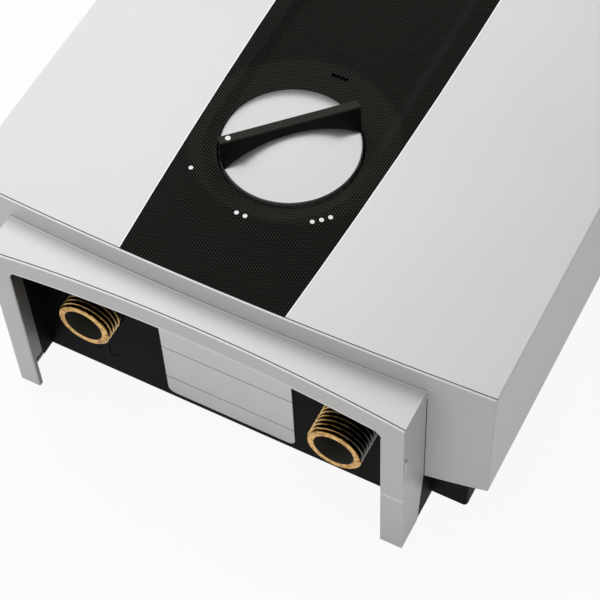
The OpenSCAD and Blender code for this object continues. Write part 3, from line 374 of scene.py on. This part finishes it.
# A real flake is about 0.04 mm wide. It is drawn ten times as wide, so that it shows.
flake = add_node(tree, "TexVoronoi", {"Vector": place, "Scale": 1 / 0.0004})
peel = add_node(tree, "TexNoise", {"Vector": place, "Scale": 1 / 0.0025, "Detail": 2.0})
drift = add_node(tree, "TexNoise", {"Vector": place, "Scale": 1 / 0.09, "Detail": 3.0})
tone = add_node(tree, "ValToRGB", {"Fac": drift}, stops=((0.3, "#d0d0d0"), (0.7, "#d4d4d3")))
apart = add_node(tree, "SeparateXYZ", {"Vector": place})
x, y, z = (apart.outputs[name] for name in "XYZ")
aside = add_node(tree, "Math", {0: x}, operation="ABSOLUTE")
square = add_node(tree, "Math", {0: x, 1: 2.0}, operation="POWER")
middle = add_node(tree, "Math", {0: y, 1: cover_middle}, operation="SUBTRACT")
along = add_node(tree, "Math", {0: middle}, operation="ABSOLUTE")
along_square = add_node(tree, "Math", {0: along, 1: 2.0}, operation="POWER")
# The arcs of the crowned front, the bowed ends and the strip's bowed edges.
arcs = []
for radius, centre_off, spread in ((crown_r, crown_sunk, square), (bow_r, bow_off, square),
                                   (lip_r, lip_off, along_square)):
    rise_square = add_node(tree, "Math", {0: radius ** 2, 1: spread}, operation="SUBTRACT")
    rise = add_node(tree, "Math", {0: rise_square}, operation="SQRT")
    arcs.append(add_node(tree, "Math", {0: rise, 1: centre_off}, operation="SUBTRACT"))
crown, bow, lip = arcs
# How far a point lies below the front, inside the ends and outside the strip's edge.
below = add_node(tree, "Math", {0: crown, 1: z}, operation="SUBTRACT")
on_front = add_node(tree, "Math", {0: below, 1: face_depth}, operation="LESS_THAN")
inside = add_node(tree, "Math", {0: bow, 1: along}, operation="SUBTRACT")
outside = add_node(tree, "Math", {0: aside, 1: lip}, operation="SUBTRACT")
# How far it lies from the middle of the shroud's arched top, and behind the shroud's front.
lifted = add_node(tree, "Math", {0: z, 1: arch_sunk}, operation="ADD")
lifted_square = add_node(tree, "Math", {0: lifted, 1: 2.0}, operation="POWER")
arch_square = add_node(tree, "Math", {0: lifted_square, 1: square}, operation="ADD")
arch = add_node(tree, "Math", {0: arch_square}, operation="SQRT")
on_arch = add_node(tree, "Math", {0: arch, 1: arch_r, 2: face_depth}, operation="COMPARE")
behind = add_node(tree, "Math", {0: y, 1: shroud_front}, operation="SUBTRACT")
# The gaps lie 0.66 mm in from the edges of the cover's front and the shroud's top.
cover_line = add_node(tree, "Math", {0: inside, 1: gap_in, 2: gap_half}, operation="COMPARE")
shroud_line = add_node(tree, "Math", {0: behind, 1: gap_in, 2: gap_half}, operation="COMPARE")
cover_gap = add_node(tree, "Math", {0: cover_line, 1: on_front}, operation="MULTIPLY")
shroud_gap = add_node(tree, "Math", {0: shroud_line, 1: on_arch}, operation="MULTIPLY")
gap = add_node(tree, "Math", {0: cover_gap, 1: shroud_gap}, operation="MAXIMUM")
# Painted highlights lie on the edges themselves, also along the strip and the shroud's rear and
# opening.
lip_at, lip_half, rear_at, rear_half = 0.0002, 0.0003, -0.0005, 0.0002
opening_r, opening_half, mouth_half = 0.3911, 0.0005, 0.0685
cover_edge_highlight = add_node(tree, "Math", {0: inside, 1: highlight_wide}, operation="LESS_THAN")
lip_highlight = add_node(tree, "Math", {0: outside, 1: lip_at, 2: lip_half}, operation="COMPARE")
cover_highlights = add_node(tree, "Math", {0: cover_edge_highlight, 1: lip_highlight}, operation="MAXIMUM")
cover_front_highlight = add_node(tree, "Math", {0: cover_highlights, 1: on_front}, operation="MULTIPLY")
shroud_front_highlight = add_node(tree, "Math", {0: behind, 1: highlight_wide}, operation="LESS_THAN")
rear_highlight = add_node(tree, "Math", {0: inside, 1: rear_at, 2: rear_half}, operation="COMPARE")
shroud_highlights = add_node(tree, "Math", {0: shroud_front_highlight, 1: rear_highlight}, operation="MAXIMUM")
shroud_top_highlight = add_node(tree, "Math", {0: shroud_highlights, 1: on_arch}, operation="MULTIPLY")
opening = add_node(tree, "Math", {0: arch, 1: opening_r, 2: opening_half}, operation="COMPARE")
opening_front = add_node(tree, "Math", {0: opening, 1: shroud_front_highlight}, operation="MULTIPLY")
mouth = add_node(tree, "Math", {0: aside, 1: mouth_half}, operation="LESS_THAN")
opening_highlight = add_node(tree, "Math", {0: opening_front, 1: mouth}, operation="MULTIPLY")
front_highlights = add_node(tree, "Math", {0: cover_front_highlight, 1: opening_highlight}, operation="MAXIMUM")
bead_and_highlight = add_node(tree, "Math", {0: front_highlights, 1: shroud_top_highlight}, operation="MAXIMUM")
# The foot of the right leg can be broken off, along a notch 35 mm above the wall.
leg_from, leg_face, notch_z, notch_half = 0.066, 0.0009, 0.0351, 0.0008
leg_right = add_node(tree, "Math", {0: x, 1: leg_from}, operation="GREATER_THAN")
notch = add_node(tree, "Math", {0: z, 1: notch_z, 2: notch_half}, operation="COMPARE")
leg_notch = add_node(tree, "Math", {0: notch, 1: leg_right}, operation="MULTIPLY")
leg_front = add_node(tree, "Math", {0: behind, 1: leg_face}, operation="LESS_THAN")
# The notch on the right leg's front is laid bright: a painted highlight.
leg_notch_highlight = add_node(tree, "Math", {0: leg_notch, 1: leg_front}, operation="MULTIPLY")
# The inner returns of the shroud's legs, 71.2 mm from the middle, are darkened, and more so
# higher up: painted shade under the band.
return_x, band_under, return_at, return_half = 0.0714, 0.3906, 0.013, 0.0124
between = add_node(tree, "Math", {0: aside, 1: return_x}, operation="LESS_THAN")
under = add_node(tree, "Math", {0: arch, 1: band_under}, operation="LESS_THAN")
depth = add_node(tree, "Math", {0: behind, 1: return_at, 2: return_half}, operation="COMPARE")
sheltered = add_node(tree, "Math", {0: between, 1: under}, operation="MULTIPLY")
inner_return_shade = add_node(tree, "Math", {0: sheltered, 1: depth}, operation="MULTIPLY")
return_shade_scale = add_node(tree, "MapRange", {"Value": z, "From Min": 0.03, "From Max": 0.075,
                                    "To Min": 0.38, "To Max": 0.06})
return_shaded_tone = add_node(tree, "VectorMath", {0: tone, "Scale": return_shade_scale}, operation="SCALE")
# The masks lay painted highlights on the edges and the notch, the gap lines, and painted shade on
# the inner returns.
coat = tone
for mask, laid in ((bead_and_highlight, linear("#f6f6f5")), (leg_notch_highlight, linear("#fafaf9")),
                   (gap, linear("#5a5a59")), (inner_return_shade, return_shaded_tone)):
    coat = add_node(tree, "Mix", {mix_share: mask, mix_under: coat, mix_over: laid},
                    data_type="RGBA")
shine = add_node(tree, "MapRange", {"Value": flake, "To Min": 0.34, "To Max": 0.44})
relief = add_node(tree, "Bump", {"Height": peel, "Strength": 0.06, "Distance": 0.0001})
feed(shader, {"Metallic": 0.15, "Specular IOR Level": 0.35, "Base Color": coat,
              "Roughness": shine, "Normal": relief})


def round_edges(made, radius, chosen):
    """Rounds the sharp edges of the open piece whose ends `chosen` picks."""
    select_in(made, "EDGE", lambda edge: edge.calc_face_angle(0.0) > math.radians(35.0)
              and all(chosen(v.co) for v in edge.verts))
    bpy.ops.mesh.bevel(offset=radius, segments=3, affect="EDGES", clamp_overlap=False)


# The moulded outer edges have a radius of half a millimetre. The other numbers are the limits
# by which those edges are picked out.
moulded_radius, hair = 0.0005, 0.0001
cover_foot, cover_half, bay_half, bay_low, bay_high = 0.0258, 0.1019, 0.0803, 0.0262, 0.0875
front_from, notch_from, notch_low, notch_high = -0.1807, 0.06, 0.0345, 0.0361


def on_cover_outline(p):
    """The cover's outer edges. Those of the bay stay sharp, so no gap shows beside the shroud."""
    in_bay = p.y < 0.0 and abs(p.x) < bay_half and bay_low < p.z < bay_high
    at_end = math.sqrt(bow_r ** 2 - p.x ** 2) - bow_off - abs(p.y - cover_middle) < hair
    return p.z > cover_foot and not in_bay and (abs(p.x) > cover_half or at_end)


def on_shroud_front(p):
    """The edges of the shroud's front, apart from the notch of the right leg."""
    return p.y < front_from and not (p.x > notch_from and notch_low < p.z < notch_high)


cover = merged_copy("front_cover", "front_cover_shell")
round_edges(cover, moulded_radius, on_cover_outline)
put_on(cover, silver, "front_cover", "case")
shroud = merged_copy("pipe_shroud", "pipe_shroud_frame")
round_edges(shroud, moulded_radius, on_shroud_front)
put_on(shroud, silver, "pipe_shroud", "case")


# Centre strip: black ABS moulded with a fine woven grain, let into the cover.
# The grain is a close field of small beads, 1.03 mm apart in staggered rows, with black pits
# between them.
bead_spacing = 0.00103
dish_centre, dish_inner, dish_outer = (0.0, -0.1025, 0.0), 0.0358, 0.0376
mark_x, mark_y, mark_half_length, mark_half_width = 0.0009, -0.07045, 0.0033, 0.00075
weave, tree, shader, place = new_finish("black_woven_grain_abs")
rows = []
for degrees in (0.0, 60.0, -60.0):
    heading = (math.cos(math.radians(degrees)), math.sin(math.radians(degrees)), 0.0)
    waves = 2 * math.pi / (bead_spacing * math.sqrt(0.75))
    stride = add_node(tree, "VectorMath", {0: place, 1: tuple(waves * c for c in heading)},
                      operation="DOT_PRODUCT")
    rows.append(add_node(tree, "Math", {0: stride}, operation="COSINE"))
pair = add_node(tree, "Math", {0: rows[0], 1: rows[1]}, operation="ADD")
field = add_node(tree, "Math", {0: pair, 1: rows[2]}, operation="ADD")
bead_and_highlight = add_node(tree, "MapRange", {"Value": field, "From Min": -1.5, "From Max": 3.0})
cloud = add_node(tree, "TexNoise", {"Vector": place, "Scale": 1 / 0.02, "Detail": 4.0})
tone = add_node(tree, "ValToRGB", {"Fac": bead_and_highlight}, stops=((0.25, "#060605"), (0.85, "#383531")))
# In the dish round the knob the tone is raised, and outside it lowered: painted light on the
# dish.
from_centre = add_node(tree, "VectorMath", {0: place, 1: dish_centre}, operation="SUBTRACT")
in_plan = add_node(tree, "VectorMath", {0: from_centre, 1: (1.0, 1.0, 0.0)}, operation="MULTIPLY")
dish_reach = add_node(tree, "VectorMath", {0: in_plan}, operation="LENGTH")
dish_light_scale = add_node(tree, "MapRange", {"Value": dish_reach, "From Min": dish_inner,
                                   "From Max": dish_outer, "To Min": 1.2, "To Max": 0.76})
dish_lit_tone = add_node(tree, "VectorMath", {0: tone, "Scale": dish_light_scale}, operation="SCALE")
# The engraved off mark, a dash 6.6 mm long and 1.5 mm wide, is laid near-black without grain:
# painted shade in its groove.
apart = add_node(tree, "SeparateXYZ", {"Vector": place})
dash_length = add_node(tree, "Math", {0: apart.outputs["X"], 1: mark_x, 2: mark_half_length},
                       operation="COMPARE")
dash_width = add_node(tree, "Math", {0: apart.outputs["Y"], 1: mark_y, 2: mark_half_width},
                      operation="COMPARE")
dash = add_node(tree, "Math", {0: dash_length, 1: dash_width}, operation="MULTIPLY")
dash_shaded_tone = add_node(tree, "Mix", {mix_share: dash, mix_under: dish_lit_tone, mix_over: linear("#030303")},
                  data_type="RGBA")
shine = add_node(tree, "MapRange", {"Value": cloud, "To Min": 0.42, "To Max": 0.55})
relief = add_node(tree, "Bump", {"Height": bead_and_highlight, "Strength": 0.5, "Distance": 0.00015})
feed(shader, {"Base Color": dash_shaded_tone, "Roughness": shine, "Specular IOR Level": 0.04,
              "Normal": relief})
dress(weave, "centre_strip")


# Setting dots and pointer dot: white enamel inlays, filled flush into the strip and the bar.
# They are slightly glossy, with a faint speck.
inlay, tree, shader, place = new_finish("white_inlay")
speck = add_node(tree, "TexNoise", {"Vector": place, "Scale": 1 / 0.0004, "Detail": 3.0})
tone = add_node(tree, "ValToRGB", {"Fac": speck}, stops=((0.2, "#cfcfcd"), (0.6, "#e4e4e2")))
feed(shader, {"Roughness": 0.35, "Base Color": tone})
dress(inlay, "setting_dots", "knob_dot")


# Knob: a domed disc in smooth satin silver with a black grip bar across it, pushed on the
# selector's spindle. The disc's rim is painted bright, a painted highlight. The bar is narrower
# at its top, scooped at its sides for finger and thumb, and painted paler along its top as
# painted light.
knob_y, rim_inner, rim_outer, rim_low, rim_radius = -0.10565, 0.0242, 0.0244, 0.0995, 0.0007
bar_lit_from, bar_top = 0.1116, 0.1122
satin, tree, shader, place = new_finish("satin_silver")
mist = add_node(tree, "TexNoise", {"Vector": place, "Scale": 1 / 0.0008, "Detail": 3.0})
tone = add_node(tree, "ValToRGB", {"Fac": mist}, stops=((0.3, "#d6d6d6"), (0.7, "#dbdbda")))
axle = add_node(tree, "VectorMath", {0: place, 1: (0.0, knob_y, 0.0)}, operation="SUBTRACT")
flat = add_node(tree, "VectorMath", {0: axle, 1: (1.0, 1.0, 0.0)}, operation="MULTIPLY")
radius = add_node(tree, "VectorMath", {0: flat}, operation="LENGTH")
rim_highlight = add_node(tree, "MapRange", {"Value": radius, "From Min": rim_inner, "From Max": rim_outer})
rim_highlighted_tone = add_node(tree, "Mix", {mix_share: rim_highlight, mix_under: tone, mix_over: linear("#f6f6f5")},
                  data_type="RGBA")
shine = add_node(tree, "MapRange", {"Value": mist, "To Min": 0.26, "To Max": 0.31})
feed(shader, {"Metallic": 0.9, "Base Color": rim_highlighted_tone, "Roughness": shine})
cap = merged_copy("knob_disc", "knob_cap")
round_edges(cap, rim_radius,
            lambda p: p.z > rim_low and math.hypot(p.x, p.y - knob_y) > rim_inner)
put_on(cap, satin, "knob_disc", "knob")

# Black ABS from a polished mould: satin, almost without grain.
grip, tree, shader, place = new_finish("black_satin_abs")
grain = add_node(tree, "TexNoise", {"Vector": place, "Scale": 1 / 0.0004, "Detail": 3.0})
tone = add_node(tree, "ValToRGB", {"Fac": grain}, stops=((0.3, "#090908"), (0.7, "#0f0e0e")))
# The top 0.6 mm of the bar is laid paler: painted light on the top, which faces the lamps.
height = add_node(tree, "SeparateXYZ", {"Vector": place}).outputs["Z"]
rubbed_wear_and_lit_top = add_node(tree, "MapRange", {"Value": height, "From Min": bar_lit_from,
                                     "From Max": bar_top})
top_lit_tone = add_node(tree, "Mix", {mix_share: rubbed_wear_and_lit_top, mix_under: tone,
                                 mix_over: linear("#2b2a27")}, data_type="RGBA")
shine = add_node(tree, "MapRange", {"Value": grain, "To Min": 0.36, "To Max": 0.5})
edge = add_node(tree, "Bevel", {"Radius": 0.0005}, samples=6)
relief = add_node(tree, "Bump", {"Height": grain, "Strength": 0.15, "Distance": 0.00006,
                                 "Normal": edge})
feed(shader, {"Base Color": top_lit_tone, "Roughness": shine, "Specular IOR Level": 0.06,
              "Normal": relief})
dress(grip, "knob_bar")


# Studio: a pale paper floor under the heater, two soft lamps, and a camera at the photograph's
# viewing angle. The camera, reflections and glass see the floor and the backdrop as white.
bpy.ops.object.camera_add(location=(0.20421737, -0.45382912, 0.60857140),
                          rotation=(0.58842108, 0.0328199, 0.48123324))
camera = bpy.context.object
camera.data.sensor_width = 36.0
camera.data.lens = 113.904
camera.data.clip_start = 0.01
bpy.context.scene.camera = camera

bpy.ops.object.select_all(action="DESELECT")
bpy.ops.mesh.primitive_plane_add(size=8.0, location=(0.0, 0.0, -0.0002))
floor = bpy.context.object
floor.name = "floor"
paper, tree, shader, _ = new_finish("white_paper_sweep")
feed(shader, {"Base Color": linear("#d0d0d0"), "Roughness": 0.9})
path = add_node(tree, "LightPath").outputs
seen = add_node(tree, "Math", {0: path["Is Camera Ray"], 1: path["Is Glossy Ray"]},
                operation="MAXIMUM")
through = add_node(tree, "Math", {0: seen, 1: path["Is Transmission Ray"]}, operation="MAXIMUM")
# The rest of the floor's share keeps the object's shadow.
share = add_node(tree, "Math", {0: through, 1: 0.93}, operation="MULTIPLY")
white = add_node(tree, "Emission", {"Color": linear("#ffffff"), "Strength": 1.0})
mixed = add_node(tree, "MixShader", {0: share, 1: shader, 2: white})
feed(tree.nodes["Material Output"], {"Surface": mixed})
floor.data.materials.append(paper)

world = bpy.data.worlds.new("studio")
bpy.context.scene.world = world
world.use_nodes = True
tree = world.node_tree
ambient = tree.nodes["Background"]
feed(ambient, {"Color": linear("#ffffff"), "Strength": 0.22})
backdrop = add_node(tree, "Background", {"Color": linear("#ffffff"), "Strength": 1.0})
path = add_node(tree, "LightPath").outputs
seen = add_node(tree, "Math", {0: path["Is Camera Ray"], 1: path["Is Glossy Ray"]},
                operation="MAXIMUM")
through = add_node(tree, "Math", {0: seen, 1: path["Is Transmission Ray"]}, operation="MAXIMUM")
mixed = add_node(tree, "MixShader", {0: through, 1: ambient, 2: backdrop})
feed(tree.nodes["World Output"], {"Surface": mixed})

for name, spot, aim, size, power in (
        ("lamp_over", (-0.65, 0.35, 1.45), (0.0, 0.05, 0.05), 1.3, 29.0),
        ("lamp_front", (-0.5, -1.7, 0.6), (0.0, -0.15, 0.05), 1.0, 4.5)):
    bpy.ops.object.light_add(type="AREA", location=spot)
    lamp = bpy.context.object
    lamp.name = name
    lamp.data.size = size
    lamp.data.energy = power
    lamp.visible_glossy = False
    away = lamp.location.copy()
    away.x, away.y, away.z = (spot[k] - aim[k] for k in range(3))
    lamp.rotation_euler = away.to_track_quat("Z", "Y").to_euler()

bpy.context.scene.view_settings.view_transform = "Standard"
